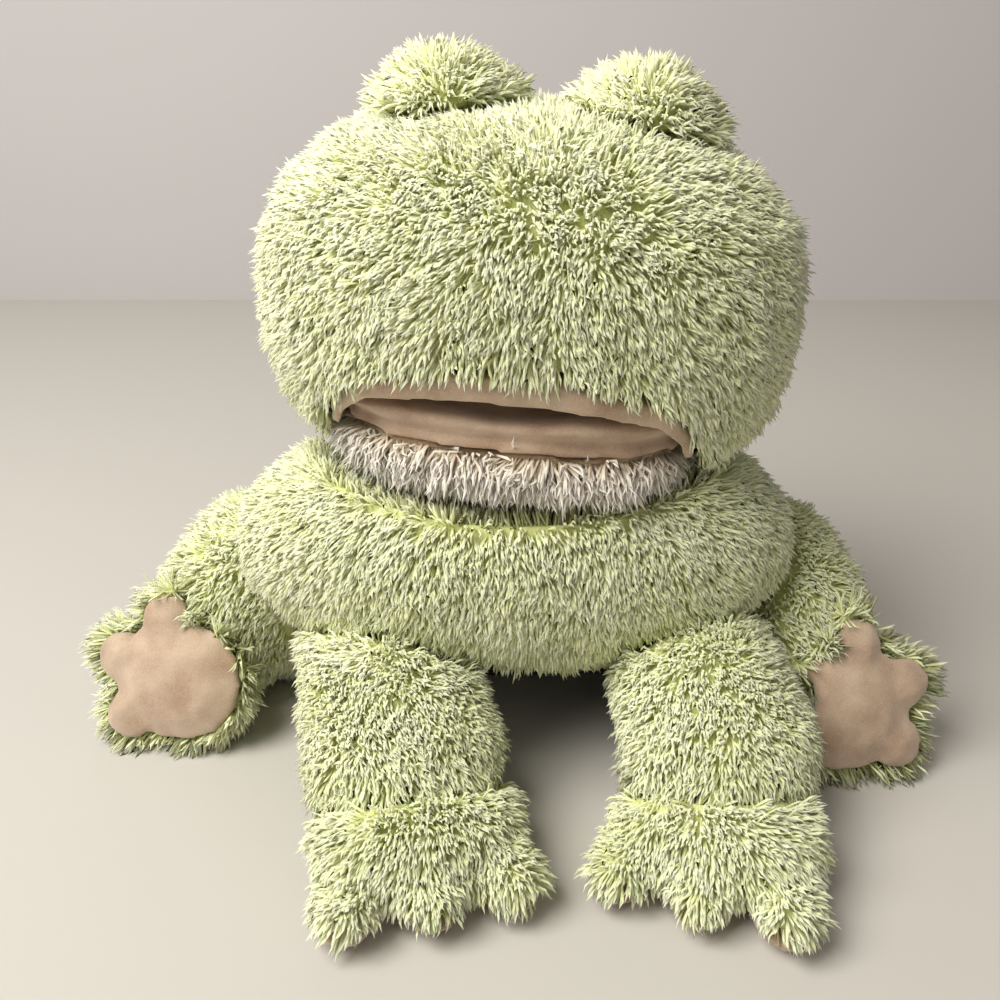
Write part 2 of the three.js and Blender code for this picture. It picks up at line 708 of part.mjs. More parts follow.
function buildFoot(side, legGroup, leg, arm, hip, swing) {
  const ankle = at(side.ankleX, side.ankleBack, footHeight);
  const turn = new THREE.Euler(
    THREE.MathUtils.degToRad(-footTilt),
    0,
    THREE.MathUtils.degToRad(side.footYaw),
    "ZYX",
  );
  const group = bodyGroup(legGroup, ankle, turn);
  const place = group.matrixWorld;
  const { core, toes } = footShapes(side);
  const clear = (solid) =>
    ankleAngles.reduce((rest, angle) => {
      const onLeg = turnAbout(ankle, axisZ, -angle);
      const inward = onLeg.clone().multiply(turnAbout(hip, swing, -legSwingAngles[0]));
      return rest.subtract(form([leg], cuffGap, onLeg)).subtract(form([arm], jointGap, inward));
    }, solid.subtract(floor));
  const whole = form([core, ...toes], 0, place);
  // The sole fills an opening in the front of the foot, inside a rim of plush
  const forward = place.clone().multiply(new THREE.Matrix4().makeTranslation(0, -soleForward, 0));
  const opening = (rim) => {
    const narrow = footShapes(side, rim);
    return form([narrow.core, ...narrow.toes], 0, forward);
  };
  const ahead = beyond(at(0, -footAhead - soleSeamAhead, 0), axisY.clone().negate(), place);
  const behind = beyond(at(0, -footAhead - soleSeamAhead - seamGap, 0), axisY, place);
  const back = whole.subtract(form([core], -plushWall, place)).subtract(opening(soleRim).intersect(ahead));
  attach(group, `foot_${side.name}`, largest(clear(back)), "greenPlush");
  const front = whole.intersect(opening(soleRim + seamGap)).subtract(behind);
  const sole = front.subtract(form([core], -velourWall, place));
  attach(group, `sole_${side.name}`, largest(clear(sole)), "velour");
  const filling = form([core], -plushWall - seamGap, place);
  attach(group, `foot_stuffing_${side.name}`, largest(clear(filling)), "stuffing");
}

buildBody();
buildNeck();
buildJaw();
buildHead();
sides.forEach(buildEye);
sides.forEach(buildArm);
sides.forEach(buildLeg);

// The origin is the middle of the underside of the whole toy
const whole = new THREE.Box3().setFromObject(toy, true);
const middle = whole.getCenter(new THREE.Vector3());
toy.position.set(-middle.x, -middle.y, -whole.min.z);

export default toy;
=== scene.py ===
import math

import bpy
import numpy as np
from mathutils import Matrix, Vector
from mathutils.bvhtree import BVHTree
from mathutils.kdtree import KDTree


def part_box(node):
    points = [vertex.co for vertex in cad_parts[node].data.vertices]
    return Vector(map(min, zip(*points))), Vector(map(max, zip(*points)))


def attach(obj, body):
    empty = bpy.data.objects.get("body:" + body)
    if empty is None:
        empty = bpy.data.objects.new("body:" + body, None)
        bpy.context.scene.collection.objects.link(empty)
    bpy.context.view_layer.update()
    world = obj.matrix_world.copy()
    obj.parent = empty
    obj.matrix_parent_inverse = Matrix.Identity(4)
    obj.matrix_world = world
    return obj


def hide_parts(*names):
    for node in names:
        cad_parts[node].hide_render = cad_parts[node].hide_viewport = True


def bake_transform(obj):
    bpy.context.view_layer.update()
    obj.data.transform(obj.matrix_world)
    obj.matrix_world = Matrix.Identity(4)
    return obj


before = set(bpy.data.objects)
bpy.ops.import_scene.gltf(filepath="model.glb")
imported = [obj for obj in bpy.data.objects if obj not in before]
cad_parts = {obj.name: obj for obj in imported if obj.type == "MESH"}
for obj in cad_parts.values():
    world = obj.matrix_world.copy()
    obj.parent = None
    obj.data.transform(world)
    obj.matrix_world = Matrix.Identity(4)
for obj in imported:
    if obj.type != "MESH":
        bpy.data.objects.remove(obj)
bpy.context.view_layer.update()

# Cloth: how near its loose corners are merged and the grids that it is remeshed on, in metres
MM = 0.001
SEWN = 0.05 * MM
PLUSH_GRID = 3.2 * MM
VELOUR_GRID = 1.5 * MM
FILL_GRID = 4.5 * MM

# How many rounds of smoothing each cloth gets, and how strong a round is
PLUSH_ROUNDS = 6
VELOUR_ROUNDS = 5
LIP_ROUNDS = 6
HEM_ROUNDS = 3
FILL_ROUNDS = 2
ROUND_STRENGTH = 0.5

# A plush wall, and how far its outer face and the stuffing are sunk below the CAD surface
PLUSH_WALL = 7 * MM
PILE_SINK = 3.2 * MM
FILL_SINK = 1.5 * MM

# Where a plush wall starts to be sunk and over how much more it becomes fully so, as shares of the wall
INNER_WALL = 0.3
WALL_TURN = 0.5

# Where locks grow: rooted in the skin, off the floor, and fewer and shorter against another cover
ROOT_DEPTH = 1.2 * MM
FLOOR_CLEARANCE = 0.3 * MM
CONTACT_REACH = 4 * MM
CONTACT_SHARE = 0.6
CONTACT_LENGTH = 0.6

# The places along a lock's stem and tip that have to keep out of buried pieces
STEM_STATIONS = (0.45, 0.75, 1.0)
TIP_STATIONS = (0.5, 1.0)

# How the pile is combed: how near a rim turns it, and the flow under which it starts to stand up
RIM_REACH = 12 * MM
CALM = 0.9

# How far the length, lean and width of locks wander, as shares of their coat's own values
LENGTH_RANGE = (0.72, 1.15)
LENGTH_PATCHES = 0.12
LEAN_RANGE = (0.6, 1.3)
WIDTH_RANGE = (0.65, 1.25)

# The tone of a lock, from 0 for deep to 1 for pale: its middle, its slow patches and its own chance
TONE_MIDDLE = 0.45
TONE_PATCHES = 0.3
TONE_SPREAD = 0.2
TONE_LIMITS = (0.02, 0.98)

# The form of one lock: more upright at its stem than at its tip, and widest at its shoulder
STEM_LEAN = 0.45
TIP_STAND = 0.75
STEM_FOLLOWS = 0.3
ROOT_WIDTH = 0.5
SHOULDER_WIDTH = 0.72
SHOULDER_PLACE = 0.55
SHOULDER_HEIGHT = 0.78
LOCK_ROUNDNESS = 0.7
LOCK_CORNERS = 7
LOCK_FACES = ((0, 2, 1), (0, 1, 4, 3), (1, 2, 5, 4), (2, 0, 3, 5), (3, 4, 6), (4, 5, 6), (5, 3, 6))
LOCK_HEIGHTS = np.array([0.0] * 3 + [SHOULDER_HEIGHT] * 3 + [1.0])

# Crowds of locks: how many make a piece or a clump, how firmly a clump holds them, and the first cover's seed
LOCKS_TO_A_PIECE = 19000
LOCKS_TO_A_CLUMP = 9
CLUMP_HOLD = (0.1, 0.45)
FIRST_SEED = 11

# The lower lip: how far its rim rises and rolls out, and the gap that it leaves under the upper palate
LIP_RISE = 13 * MM
LIP_OUT = 13 * MM
LIP_GAP = 3 * MM

# Where the lip starts, how soon it is full and how it fades to the corners, as shares of a half palate
LIP_INNER = 0.78
LIP_ROUND = 0.17
LIP_CORNER = 0.3

# How much of the roll is left at the lip's top and bottom, and how level a face counts as one of those
LIP_FOOT = 0.25
PLATE_FACING = 0.7

# The fold at the back of the mouth: its cloth, where it hangs and the grid that it is made on
FOLD_THICKNESS = 1.6 * MM
FOLD_SAG = 4 * MM
FOLD_INSET = 2 * MM
FOLD_RISE = 9 * MM
FOLD_COLUMNS = 48
FOLD_ROWS = 9

# The photograph's viewing angle: a hand-held view from about the height of the eye bumps, looking down
PICTURE_SIDE = 1000
FOCAL_PIXELS = 1003
SENSOR_WIDTH = 36
CAMERA_PLACE = Vector((-0.002, -0.347, 0.268))
CAMERA_PITCH = math.radians(25)

# The studio: how far behind the wall is, how wide the floor and wall are, and the colour of the lamps
WALL_BEHIND = 0.75
ROOM_SIDE = 6
WARM_WHITE = (255, 252, 244)

# Sides and directions; the slanting one is for telling inside from outside
SIDES = ("left", "right")
DOWN = np.array((0.0, 0.0, -1.0))
AHEAD = np.array((0.0, -1.0, 0.0))
UP = Vector((0, 0, 1))
SLANT = Vector((0.31, 0.17, 0.94)).normalized()


# Small tools

def select_only(piece):
    bpy.ops.object.select_all(action="DESELECT")
    piece.select_set(True)
    bpy.context.view_layer.objects.active = piece


def finish_with(piece, kind, **settings):
    """Adds one modifier to a piece and applies it."""
    select_only(piece)
    modifier = piece.modifiers.new(kind.lower(), kind)
    for name, value in settings.items():
        setattr(modifier, name, value)
    bpy.ops.object.modifier_apply(modifier=modifier.name)


def sewn_copy(node, name):
    """A CAD node's mesh as a new object, with its loose triangles merged."""
    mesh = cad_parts[node].data.copy()
    mesh.materials.clear()
    mesh.name = name
    piece = bpy.data.objects.new(name, mesh)
    bpy.context.scene.collection.objects.link(piece)
    select_only(piece)
    bpy.ops.object.mode_set(mode="EDIT")
    bpy.ops.mesh.select_all(action="SELECT")
    bpy.ops.mesh.remove_doubles(threshold=SEWN)
    bpy.ops.object.mode_set(mode="OBJECT")
    return piece


def smoothed(piece, rounds):
    finish_with(piece, "SMOOTH", factor=ROUND_STRENGTH, iterations=rounds)


def softened(node, name, grid, rounds):
    """A CAD soft solid with its facets rounded off."""
    piece = sewn_copy(node, name)
    finish_with(piece, "REMESH", mode="VOXEL", voxel_size=grid)
    smoothed(piece, rounds)
    return piece


def points_of(piece):
    points = np.empty(len(piece.data.vertices) * 3, np.float32)
    piece.data.vertices.foreach_get("co", points)
    return points.reshape(-1, 3).astype(float)


def normals_of(piece):
    normals = np.empty(len(piece.data.vertices) * 3, np.float32)
    piece.data.vertex_normals.foreach_get("vector", normals)
    return normals.reshape(-1, 3).astype(float)


def move_points(piece, points):
    piece.data.vertices.foreach_set("co", points.astype(np.float32).ravel())
    piece.data.update()


def triangles_of(piece):
    piece.data.calc_loop_triangles()
    triangles = np.empty(len(piece.data.loop_triangles) * 3, np.int32)
    piece.data.loop_triangles.foreach_get("vertices", triangles)
    return triangles.reshape(-1, 3)


def unit(vectors):
    length = np.linalg.norm(vectors, axis=-1, keepdims=True)
    return vectors / np.maximum(length, 1e-9)


def centre_of(node):
    low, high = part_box(node)
    return np.array((low + high) / 2)


def spot_in(node, across, back, up):
    """A place in a node's box, given as shares of its width, depth and height."""
    low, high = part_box(node)
    low = np.array(low)
    return low + (np.array(high) - low) * np.array((across, back, up))


surfaces = {}


def add_surface(node, mesh):
    """Keeps the search tree of a node's surface and the box round it."""
    corners = [v.co for v in mesh.vertices]
    faces = [tuple(p.vertices) for p in mesh.polygons]
    surfaces[node] = BVHTree.FromPolygons(corners, faces), np.min(corners, 0), np.max(corners, 0)


def surface_of(node):
    if node not in surfaces:
        add_surface(node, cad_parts[node].data)
    return surfaces[node]


def distance_to(nodes, points):
    """How far each point is from the nearest surface of some nodes."""
    nearest = np.full(len(points), np.inf)
    for node in nodes:
        tree = surface_of(node)[0]
        found = [tree.find_nearest(Vector(p))[3] for p in points]
        nearest = np.minimum(nearest, np.array(found))
    return nearest


def crossings(tree, point):
    """How many times a slanting line up from a point passes through a surface."""
    count = 0
    place = tree.ray_cast(point, SLANT)[0]
    while place:
        count += 1
        place = tree.ray_cast(place + SLANT * SEWN, SLANT)[0]
    return count


def inside_any(nodes, points):
    """Which points lie in the solid of one of some nodes."""
    inside = np.zeros(len(points), bool)
    for node in nodes:
        tree, low, high = surface_of(node)
        boxed = ((points > low) & (points < high)).all(1)
        for i in np.flatnonzero(boxed & ~inside):
            inside[i] = crossings(tree, Vector(points[i])) % 2
    return inside


def slow_waves(points, seed):
    """Three smooth values from -1 to 1 at each point, which wander over about 30 mm."""
    rng = np.random.default_rng(seed)
    waves = np.zeros((len(points), 3))
    for wavelength in (52 * MM, 31 * MM, 17 * MM):
        turn = rng.normal(size=(3, 3))
        phase = rng.random(3) * 2 * math.pi
        waves += np.sin(points @ unit(turn).T * (2 * math.pi / wavelength) + phase)
    return waves / 3


# Materials: the heights of a lock's colours, the grain of cloth and the handling marks of plastic
LOCK_STOPS = (0.0, 0.35, 0.75, 1.0)
GRAIN_SHARE = 0.6
GRAIN_STRENGTH = 0.5
TONE_SPAN = (0.55, 1.05)
HANDLED = (0.8, 1.3)
HANDLING_MARK = 3 * MM


def new_material(name):
    material = bpy.data.materials.new(name)
    material.use_nodes = True
    nodes = material.node_tree.nodes
    return material, nodes, material.node_tree.links, nodes["Principled BSDF"]


def linear(red, green, blue):
    """A colour written as 0 to 255 screen values, in Blender's linear values."""
    shares = [value / 255 for value in (red, green, blue)]
    return [s / 12.92 if s <= 0.04045 else ((s + 0.055) / 1.055) ** 2.4 for s in shares] + [1.0]


def ramp(nodes, stops):
    node = nodes.new("ShaderNodeValToRGB")
    stretch = node.color_ramp.elements
    while len(stretch) < len(stops):
        stretch.new(0.5)
    for element, (place, colour) in zip(stretch, stops):
        element.position = place
        element.color = colour
    return node


def mixed_colour(nodes, links, share, first, second):
    mix = nodes.new("ShaderNodeMix")
    mix.data_type = "RGBA"
    links.new(share, mix.inputs["Factor"])
    for socket, value in ((mix.inputs["A"], first), (mix.inputs["B"], second)):
        if isinstance(value, bpy.types.NodeSocket):
            links.new(value, socket)
        else:
            socket.default_value = value
    return mix.outputs["Result"]


def noise(nodes, links, coordinates, grain, detail=3.0):
    """Noise whose grains are about that many metres across."""
    node = nodes.new("ShaderNodeTexNoise")
    node.inputs["Scale"].default_value = 1 / grain
    node.inputs["Detail"].default_value = detail
    links.new(coordinates, node.inputs["Vector"])
    return node.outputs["Fac"]


def bump(nodes, links, height, shader, strength, depth):
    node = nodes.new("ShaderNodeBump")
    node.inputs["Strength"].default_value = strength
    node.inputs["Distance"].default_value = depth
    links.new(height, node.inputs["Height"])
    links.new(node.outputs["Normal"], shader.inputs["Normal"])


def pile_material(name, deep, pale):
    """Long pile: a lock runs from root to tip up its own map, and its tone lies across it."""
    material, nodes, links, shader = new_material(name)
    lock = nodes.new("ShaderNodeUVMap")
    lock.uv_map = "OFBake"
    parts = nodes.new("ShaderNodeSeparateXYZ")
    links.new(lock.outputs["UV"], parts.inputs["Vector"])
    deep_ramp = ramp(nodes, list(zip(LOCK_STOPS, deep)))
    pale_ramp = ramp(nodes, list(zip(LOCK_STOPS, pale)))
    links.new(parts.outputs["Y"], deep_ramp.inputs["Fac"])
    links.new(parts.outputs["Y"], pale_ramp.inputs["Fac"])
    colour = mixed_colour(
        nodes, links, parts.outputs["X"], deep_ramp.outputs["Color"], pale_ramp.outputs["Color"]
    )
    links.new(colour, shader.inputs["Base Color"])
    shader.inputs["Roughness"].default_value = 0.8
    shader.inputs["Specular IOR Level"].default_value = 0.04
    shader.inputs["Subsurface Weight"].default_value = 0.4
    shader.inputs["Subsurface Radius"].default_value = (1.0, 0.95, 0.6)
    shader.inputs["Subsurface Scale"].default_value = 2 * MM
    return material


def cloth_material(name, dark, light, patch, grain, rough, sheen, lift):
    """A napped or knitted cloth: two tones in soft patches, broken up by its own fine grain."""
    material, nodes, links, shader = new_material(name)
    coordinates = nodes.new("ShaderNodeTexCoord").outputs["Object"]
    patches = noise(nodes, links, coordinates, patch)
    grains = noise(nodes, links, coordinates, grain, 2.0)
    both = nodes.new("ShaderNodeMath")
    both.operation = "MULTIPLY_ADD"
    both.inputs[1].default_value = GRAIN_SHARE
    links.new(grains, both.inputs[0])
    links.new(patches, both.inputs[2])
    spread = nodes.new("ShaderNodeMapRange")
    spread.inputs["From Min"].default_value, spread.inputs["From Max"].default_value = TONE_SPAN
    links.new(both.outputs[0], spread.inputs["Value"])
    colour = mixed_colour(nodes, links, spread.outputs["Result"], dark, light)
    links.new(colour, shader.inputs["Base Color"])
    bump(nodes, links, grains, shader, GRAIN_STRENGTH, lift)
    shader.inputs["Roughness"].default_value = rough
    shader.inputs["Specular IOR Level"].default_value = 0.2
    shader.inputs["Sheen Weight"].default_value = sheen
    return material


def plastic_material(name, colour, rough):
    """Moulded plastic with faint handling marks in its gloss."""
    material, nodes, links, shader = new_material(name)
    coordinates = nodes.new("ShaderNodeTexCoord").outputs["Object"]
    marks = noise(nodes, links, coordinates, HANDLING_MARK)
    gloss = nodes.new("ShaderNodeMapRange")
    gloss.inputs["To Min"].default_value = rough * HANDLED[0]
    gloss.inputs["To Max"].default_value = rough * HANDLED[1]
    links.new(marks, gloss.inputs["Value"])
    links.new(gloss.outputs["Result"], shader.inputs["Roughness"])
    shader.inputs["Base Color"].default_value = colour
    return material


green_pile = pile_material(
    "green_pile",
    [linear(198, 203, 128), linear(217, 224, 148), linear(233, 240, 176), linear(243, 248, 206)],
    [linear(215, 220, 150), linear(231, 237, 172), linear(245, 249, 204), linear(252, 254, 230)],
)
cream_pile = pile_material(
    "cream_pile",
    [linear(226, 200, 166), linear(238, 218, 190), linear(248, 235, 214), linear(252, 246, 232)],
    [linear(236, 214, 182), linear(245, 230, 206), linear(252, 244, 228), linear(254, 251, 242)],
)
green_backing = cloth_material(
    "green_backing", linear(198, 203, 136), linear(218, 223, 160), 9 * MM, 1.2 * MM, 0.95, 0.2, 0.5 * MM
)
cream_backing = cloth_material(
    "cream_backing", linear(204, 182, 150), linear(228, 210, 182), 9 * MM, 1.2 * MM, 0.95, 0.2, 0.5 * MM
)
velour = cloth_material(
    "beige_velour", linear(166, 138, 116), linear(206, 184, 162), 14 * MM, 0.45 * MM, 0.85, 0.45, 0.2 * MM
)
lining_cloth = cloth_material(
    "black_lining", linear(16, 15, 15), linear(34, 32, 31), 8 * MM, 0.5 * MM, 0.9, 0.05, 0.15 * MM
)
fibre_fill = cloth_material(
    "fibre_fill", linear(206, 204, 198), linear(240, 239, 235), 6 * MM, 0.8 * MM, 0.95, 0.3, 0.6 * MM
)
eye_plastic = plastic_material("eye_plastic", linear(14, 13, 13), 0.12)
washer_plastic = plastic_material("washer_plastic", linear(216, 214, 206), 0.55)


# Finishes and plush skins

def finish_cloth(piece, material):
    piece.data.materials.clear()
    piece.data.materials.append(material)
    for polygon in piece.data.polygons:
        polygon.use_smooth = True


def dress(piece, material, slot, body, *stands_for):
    """Gives a piece its finish, the body that it moves with and the nodes that it stands for."""
    finish_cloth(piece, material)
    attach(piece, body)
    if stands_for:
        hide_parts(*stands_for)


def plush_skin(node, inside):
    """The backing of a plush cover: its outer face is sunk below the CAD surface, its inner face stays.
    Returns the skin and, for each of its points, how far out in the wall it is, from 0 to 1."""
    skin = softened(node, node + "_skin", PLUSH_GRID, PLUSH_ROUNDS)
    points = points_of(skin)
    depth = distance_to(inside, points)
    outer = np.clip((depth - INNER_WALL * PLUSH_WALL) / (WALL_TURN * PLUSH_WALL), 0, 1)
    move_points(skin, points - normals_of(skin) * (PILE_SINK * outer)[:, None])
    return skin, outer


# Velour: the mouth's two palates and its fold, the palms and the soles

def height_in(points, normals):
    """How high each point of a tilted plate lies in it, from 0 at its underside to 1 at its top."""
    plan = np.column_stack([np.ones(len(points)), points[:, :2]])
    levels = []
    for facing in (normals[:, 2] < -PLATE_FACING, normals[:, 2] > PLATE_FACING):
        slope = np.linalg.lstsq(plan[facing], points[facing, 2], rcond=None)[0]
        levels.append(plan @ slope)
    return np.clip((points[:, 2] - levels[0]) / (levels[1] - levels[0]), 0, 1)


def roll_lip(pad, ceiling):
    """Puffs the front rim of the lower palate up to just under the upper one and a little forwards, and keeps
    its new surface, which the pile stays out of."""
    points, normals = points_of(pad), normals_of(pad)
    middle = (points.min(0) + points.max(0)) / 2
    half = (points.max(0) - points.min(0)) / 2
    across = (points - middle) / half
    rim = np.clip((np.hypot(across[:, 0], across[:, 1]) - LIP_INNER) / LIP_ROUND, 0, 1)
    front = np.clip(-across[:, 1] / LIP_CORNER, 0, 1)
    height = height_in(points, normals)
    edge = rim * rim * (3 - 2 * rim) * front
    share = edge * height
    tree = surface_of(ceiling)[0]
    room = np.full(len(points), LIP_RISE)
    for i in np.flatnonzero(share):
        place = tree.ray_cast(Vector(points[i]), UP)[0]
        if place:
            room[i] = min(LIP_RISE, place.z - points[i, 2] - LIP_GAP)
    out = unit(across * (1, 1, 0))
    swell = LIP_FOOT + (1 - LIP_FOOT) * np.sin(math.pi * height)
    points += out * (LIP_OUT * edge * swell)[:, None]
    points[:, 2] += np.maximum(room, 0) * share
    move_points(pad, points)
    smoothed(pad, LIP_ROUNDS)
    add_surface("lower_palate", pad.data)


def make_velour():
    pads = {"upper_palate": "head", "lower_palate": "jaw"}
    for side in SIDES:
        pads[f"palm_{side}"] = f"hand_{side}"
        pads[f"sole_{side}"] = f"foot_{side}"
    for node, body in pads.items():
        pad = softened(node, node + "_velour", VELOUR_GRID, VELOUR_ROUNDS)
        if node == "lower_palate":
            roll_lip(pad, "upper_palate")
        dress(pad, velour, "velour", body, node)


def fold_rows():
    """Points of the fold: columns across the mouth, each from the lower palate up to the upper one."""
    upper, lower = surface_of("upper_palate")[0], surface_of("lower_palate")[0]
    low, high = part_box("lower_palate")
    points = []
    for x in np.linspace(low.x + FOLD_INSET, high.x - FOLD_INSET, FOLD_COLUMNS):
        hung = upper.find_nearest(Vector((x, high.y, high.z + FOLD_RISE)))[0]
        sewn = lower.find_nearest(Vector((x, hung.y, hung.z)))[0]
        for share in np.linspace(0, 1, FOLD_ROWS):
            sag = FOLD_SAG * math.sin(math.pi * share)
            points.append(sewn.lerp(hung, share) + Vector((0, sag, 0)))
    return np.array(points).reshape(FOLD_COLUMNS, FOLD_ROWS, 3)


def make_mouth_fold():
    """The velour at the back of the mouth, hung with a sag between the palates."""
    rows = fold_rows()
    faces = []
    for column in range(FOLD_COLUMNS - 1):
        for row in range(FOLD_ROWS - 1):
            corner = column * FOLD_ROWS + row
            faces.append((corner, corner + FOLD_ROWS, corner + FOLD_ROWS + 1, corner + 1))
    mesh = bpy.data.meshes.new("mouth_fold_velour")
    mesh.from_pydata(rows.reshape(-1, 3).tolist(), [], faces)
    fold = bpy.data.objects.new("mouth_fold_velour", mesh)
    bpy.context.scene.collection.objects.link(fold)
    finish_with(fold, "SOLIDIFY", thickness=FOLD_THICKNESS, offset=0)
    finish_cloth(fold, velour)
    tilt = np.polyfit(rows[:, :, 0].ravel(), rows[:, :, 2].ravel(), 1)[0]
    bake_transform(fold)


make_velour()
make_mouth_fold()


# Pile: thousands of curved, closed, three-sided locks on a skin

def scatter(skin, outer, coat, rng):
    """Roots spread evenly over the outer face of a skin, with the skin's normals there."""
    points, normals, triangles = points_of(skin), normals_of(skin), triangles_of(skin)
    corners = points[triangles]
    first, second = corners[:, 1] - corners[:, 0], corners[:, 2] - corners[:, 0]
    area = np.linalg.norm(np.cross(first, second), axis=1) / 2
    area = area * (outer[triangles].min(1) > coat["bare_below"])
    count = int(area.sum() * coat["density"])
    chosen = rng.choice(len(area), count, p=area / area.sum())
    along, over = rng.random((2, count))
    folded = along + over > 1
    along[folded], over[folded] = 1 - along[folded], 1 - over[folded]
    share = np.stack([1 - along - over, along, over], 1)[:, :, None]
    roots = (corners[chosen] * share).sum(1)
    return roots, unit((normals[triangles[chosen]] * share).sum(1))


def combed(roots, normals, near, coat, seed):
    """The way that the pile lies at each root: with the coat's flow, away from its whorl, in slow swirls,
    and over the edge near a rim. Where these cancel out it stands up."""
    flow = np.array(coat["flow"]) + coat["spread"] * unit(roots - np.array(coat["whorl"]))
    flow = flow + np.array(coat["rim_flow"]) * near[:, None]
    flow = flow + coat["swirl"] * slow_waves(roots, seed)
    flow = flow - normals * (flow * normals).sum(1)[:, None]
    return flow / np.maximum(np.linalg.norm(flow, axis=1), CALM)[:, None]


def gathered(roots, tips, rng):
    """Moves the tips of neighbouring locks towards each other, so that they stand in pointed clumps."""
    leaders = rng.choice(len(roots), max(1, len(roots) // LOCKS_TO_A_CLUMP), replace=False)
    tree = KDTree(len(leaders))
    for i in leaders:
        tree.insert(Vector(roots[i]), int(i))
    tree.balance()
    nearest = np.array([tree.find(Vector(p))[1] for p in roots])
    hold = rng.uniform(*CLUMP_HOLD, len(roots))[:, None]
    return tips + (tips[nearest] - tips) * hold


def rooted(skin, outer, coat, others, buried, rng):
    """The roots that stay, with their normals, and which of them lie against another cover."""
    roots, normals = scatter(skin, outer, coat, rng)
    reach = roots + normals * CONTACT_REACH
    covered = inside_any(others, reach)
    kept = ~covered | (rng.random(len(roots)) < CONTACT_SHARE)
    kept &= ~inside_any(buried, reach)
    return roots[kept], normals[kept], covered[kept]


def clear_of(buried, roots, middles, tips):
    """Which locks keep out of what is buried all along."""
    stations = [roots + (middles - roots) * share for share in STEM_STATIONS]
    stations += [middles + (tips - middles) * share for share in TIP_STATIONS]
    return ~inside_any(buried, np.concatenate(stations)).reshape(len(stations), -1).any(0)


def grow(skin, outer, coat, others, buried, seed):
    """Where the locks of a coat run: root, middle and tip, with a width, a tone and a facing each."""
    rng = np.random.default_rng(seed)
    roots, normals, covered = rooted(skin, outer, coat, others, buried, rng)
    count = len(roots)
    near = np.zeros(count)
    if coat["rim"]:
        near = 1 - np.clip(distance_to([coat["rim"]], roots) / RIM_REACH, 0, 1)
    lie = combed(roots, normals, near, coat, seed)
    ruffle = rng.normal(size=(2, count, 3)) * coat["ruffle"]
    patches = slow_waves(roots, seed + 1)
    length = coat["pile"] * rng.uniform(*LENGTH_RANGE, count) * (1 + LENGTH_PATCHES * patches[:, 0])
    length = length * np.where(covered, CONTACT_LENGTH, 1.0)
    length = (length * (1 + (coat["rim_gain"] - 1) * near))[:, None]
    lean = (coat["lean"] * rng.uniform(*LEAN_RANGE, count))[:, None]
    low = unit(normals + lie * lean * STEM_LEAN + ruffle[0])
    high = unit(normals * TIP_STAND + lie * lean + ruffle[1] + DOWN * coat["droop"])
    half = length * 0.5
    middles = roots + low * half
    tips = gathered(roots, middles + high * half, rng)
    middles = middles + (tips - middles - high * half) * STEM_FOLLOWS
    clear = clear_of(buried, roots, middles, tips)
    width = coat["width"] * rng.uniform(*WIDTH_RANGE, count)
    tone = TONE_MIDDLE + TONE_PATCHES * patches[:, 1] + rng.normal(size=count) * TONE_SPREAD
    locks = {
        "root": roots - normals * ROOT_DEPTH,
        "middle": middles,
        "tip": tips,
        "width": width,
        "tone": np.clip(tone, *TONE_LIMITS),
        "spin": rng.normal(size=(count, 3)),
        "facing": unit(normals - DOWN * coat["lift"]),
    }
    return {key: value[clear] for key, value in locks.items()}


def lock_points(locks):
    """The corners of each lock, three round the root, three round the shoulder and the tip, and the way that
    each one faces: mostly as the skin does, because light passes through the hairs of a real lock."""
    along = unit(locks["middle"] - locks["root"])
    side = unit(np.cross(along, locks["spin"]))
    across = np.cross(along, side)
    shoulder = locks["middle"] + (locks["tip"] - locks["middle"]) * SHOULDER_PLACE
    points = np.empty((len(along), LOCK_CORNERS, 3))
    facing = np.repeat(locks["facing"][:, None], LOCK_CORNERS, axis=1)
    for corner in range(3):
        turn = corner * 2 * math.pi / 3
        out = side * math.cos(turn) + across * math.sin(turn)
        facing[:, [corner, corner + 3]] += out[:, None] * LOCK_ROUNDNESS
        out = out * locks["width"][:, None]
        points[:, corner] = locks["root"] + out * ROOT_WIDTH
        points[:, corner + 3] = shoulder + out * SHOULDER_WIDTH
    points[:, -1] = locks["tip"]
    points[:, :, 2] = np.maximum(points[:, :, 2], FLOOR_CLEARANCE)
    return points, unit(facing)


def lock_mesh(name, locks):
    """One mesh of closed locks, whose map holds each lock's tone across and its height up."""
    points, facing = lock_points(locks)
    count = len(points)
    corners = np.array([corner for face in LOCK_FACES for corner in face])
    sizes = np.array([len(face) for face in LOCK_FACES])
    loops = (corners + LOCK_CORNERS * np.arange(count)[:, None]).ravel()
    starts = np.concatenate([[0], np.cumsum(np.tile(sizes, count))[:-1]])
    mesh = bpy.data.meshes.new(name)
    mesh.vertices.add(LOCK_CORNERS * count)
    mesh.vertices.foreach_set("co", points.astype(np.float32).ravel())
    mesh.loops.add(len(loops))
    mesh.loops.foreach_set("vertex_index", loops.astype(np.int32))
    mesh.polygons.add(len(starts))
    mesh.polygons.foreach_set("loop_start", starts.astype(np.int32))
    mesh.update(calc_edges=True)
    lock_map = np.empty((count, len(corners), 2), np.float32)
    lock_map[:, :, 0] = locks["tone"][:, None]
    lock_map[:, :, 1] = LOCK_HEIGHTS[corners]
    mesh.uv_layers.new(name="OFBake").data.foreach_set("uv", lock_map.ravel())
    mesh.validate()
    mesh.normals_split_custom_set_from_vertices(facing.reshape(-1, 3))
    return mesh


